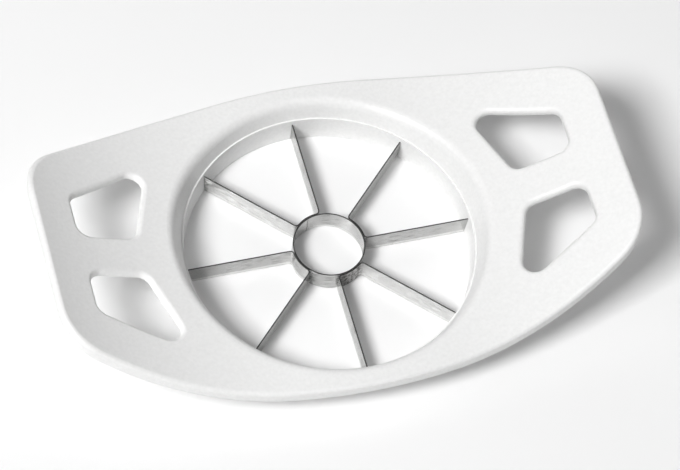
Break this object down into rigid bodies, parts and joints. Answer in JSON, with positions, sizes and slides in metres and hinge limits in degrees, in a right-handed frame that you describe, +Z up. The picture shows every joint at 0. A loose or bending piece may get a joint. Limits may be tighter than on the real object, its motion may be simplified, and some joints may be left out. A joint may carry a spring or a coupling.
{
  "type": "apple corer and slicer",
  "caption": "Push-down apple corer and slicer: white moulded body with a round opening and raised handles, radial steel blades and a core ring that cut an apple into wedges.",
  "frame": {"origin": "middle of the base ring's underside, on the table", "axes": "+X along the handles, +Z up out of the opening, cutting edges face -Z"},
  "size_m": [0.18, 0.1086, 0.0365],
  "materials": {
    "white_plastic": "satin moulded",
    "stainless_steel": "rolled strip"
  },
  "bodies": {
    "root": {"handle_frame": "white_plastic", "core_ring": "stainless_steel", "blade_pair_1": "stainless_steel", "blade_pair_2": "stainless_steel", "blade_pair_3": "stainless_steel", "blade_pair_4": "stainless_steel"}
  },
  "joints": []
}
